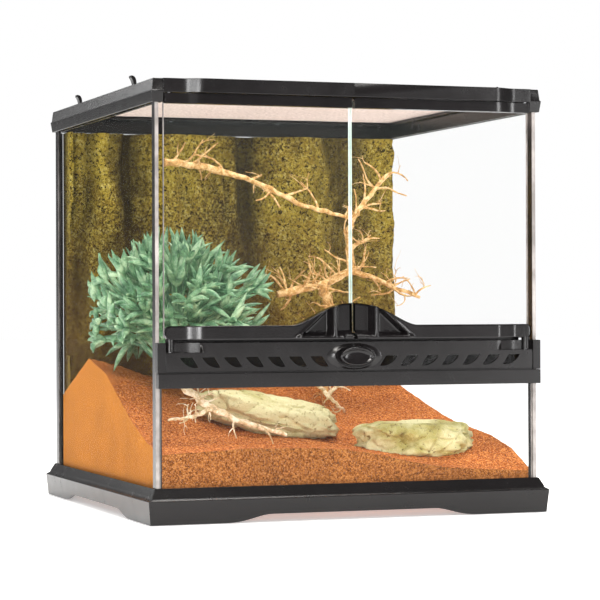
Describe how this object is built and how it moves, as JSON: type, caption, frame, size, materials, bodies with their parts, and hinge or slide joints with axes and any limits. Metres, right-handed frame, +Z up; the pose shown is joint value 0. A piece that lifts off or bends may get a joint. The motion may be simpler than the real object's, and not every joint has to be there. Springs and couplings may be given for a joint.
{
  "type": "front-opening glass terrarium",
  "caption": "Cube-shaped glass terrarium with twin front doors under a bell-shaped grip, louvred vent strip, mesh lid, plinth with arched feet, and sand, rock, driftwood and plant furnishing.",
  "frame": {"origin": "centre of the outline on the surface that it stands on", "axes": "+Z up, -Y is the front with the doors, +X to the right seen from the front"},
  "size_m": [0.447, 0.4556, 0.4661],
  "materials": {
    "frame_plastic": "satin moulded",
    "clear_glass": "polished float glass",
    "silicone": "smooth sealant",
    "pin_steel": "drawn wire",
    "wire_mesh": "woven fine wire",
    "background_foam": "rough moulded foam, rock look",
    "sand": "fine dry grains",
    "smooth_stone": "worn smooth",
    "rough_stone": "pitted",
    "driftwood": "bleached bare wood",
    "leaves": "waxy"
  },
  "bodies": {
    "tank": {"base_frame": "frame_plastic", "top_frame": "frame_plastic", "door_stop_lip": "frame_plastic", "vent_strip": "frame_plastic", "strip_end_cap_left": "frame_plastic", "strip_end_cap_right": "frame_plastic", "left_glass": "clear_glass", "right_glass": "clear_glass", "back_glass": "clear_glass", "front_lower_glass": "clear_glass", "bottom_glass": "clear_glass", "rear_left_silicone": "silicone", "rear_right_silicone": "silicone", "front_left_silicone": "silicone", "front_right_silicone": "silicone", "lower_hinge_pin_left": "pin_steel", "lower_hinge_pin_right": "pin_steel", "upper_hinge_pin_left": "pin_steel", "upper_hinge_pin_right": "pin_steel", "vent_mesh": "wire_mesh", "rock_background": "background_foam", "sand_bed": "sand", "basking_rock": "smooth_stone", "feeding_rock": "rough_stone", "upper_driftwood": "driftwood", "lower_branch": "driftwood", "small_branch": "driftwood", "succulent_plant": "leaves"},
    "left_door": {"left_door_glass": "clear_glass", "left_door_top_profile": "frame_plastic", "left_handle_rail": "frame_plastic"},
    "right_door": {"right_door_glass": "clear_glass", "right_door_top_profile": "frame_plastic", "right_handle_rail": "frame_plastic"},
    "lock": {"lock_knob": "frame_plastic", "lock_cam": "frame_plastic"},
    "screen": {"screen_frame": "frame_plastic", "screen_mesh": "wire_mesh", "screen_crossbar": "frame_plastic"},
    "latch_front_left": {"latch_front_left": "frame_plastic"},
    "latch_rear_left": {"latch_rear_left": "frame_plastic"},
    "latch_front_right": {"latch_front_right": "frame_plastic"},
    "latch_rear_right": {"latch_rear_right": "frame_plastic"},
    "left_shutter": {"left_cable_shutter": "frame_plastic"},
    "right_shutter": {"right_cable_shutter": "frame_plastic"}
  },
  "joints": [
    {"name": "left_door_hinge", "type": "hinge", "parent": "tank", "child": "left_door", "pos_m": [-0.199, -0.21175, 0.3], "axis": [0, 0, -1], "range_deg": [0, 110]},
    {"name": "right_door_hinge", "type": "hinge", "parent": "tank", "child": "right_door", "pos_m": [0.199, -0.21175, 0.3], "axis": [0, 0, 1], "range_deg": [0, 110]},
    {"name": "lock_turn", "type": "hinge", "parent": "tank", "child": "lock", "pos_m": [0, -0.21775, 0.1695], "axis": [0, -1, 0], "range_deg": [-90, 90]},
    {"name": "screen_lift", "type": "slide", "parent": "tank", "child": "screen", "axis": [0, 0, 1], "range_m": [0, 0.12]},
    {"name": "latch_front_left_flip", "type": "hinge", "parent": "screen", "child": "latch_front_left", "pos_m": [-0.2035, -0.11175, 0.4558], "axis": [0, 1, 0], "range_deg": [0, 80]},
    {"name": "latch_rear_left_flip", "type": "hinge", "parent": "screen", "child": "latch_rear_left", "pos_m": [-0.2035, 0.12025, 0.4558], "axis": [0, 1, 0], "range_deg": [0, 80]},
    {"name": "latch_front_right_flip", "type": "hinge", "parent": "screen", "child": "latch_front_right", "pos_m": [0.2035, -0.11175, 0.4558], "axis": [0, -1, 0], "range_deg": [0, 80]},
    {"name": "latch_rear_right_flip", "type": "hinge", "parent": "screen", "child": "latch_rear_right", "pos_m": [0.2035, 0.12025, 0.4558], "axis": [0, -1, 0], "range_deg": [0, 80]},
    {"name": "left_shutter_slide", "type": "slide", "parent": "tank", "child": "left_shutter", "axis": [1, 0, 0], "range_m": [0, 0.038]},
    {"name": "right_shutter_slide", "type": "slide", "parent": "tank", "child": "right_shutter", "axis": [-1, 0, 0], "range_m": [0, 0.038]}
  ]
}
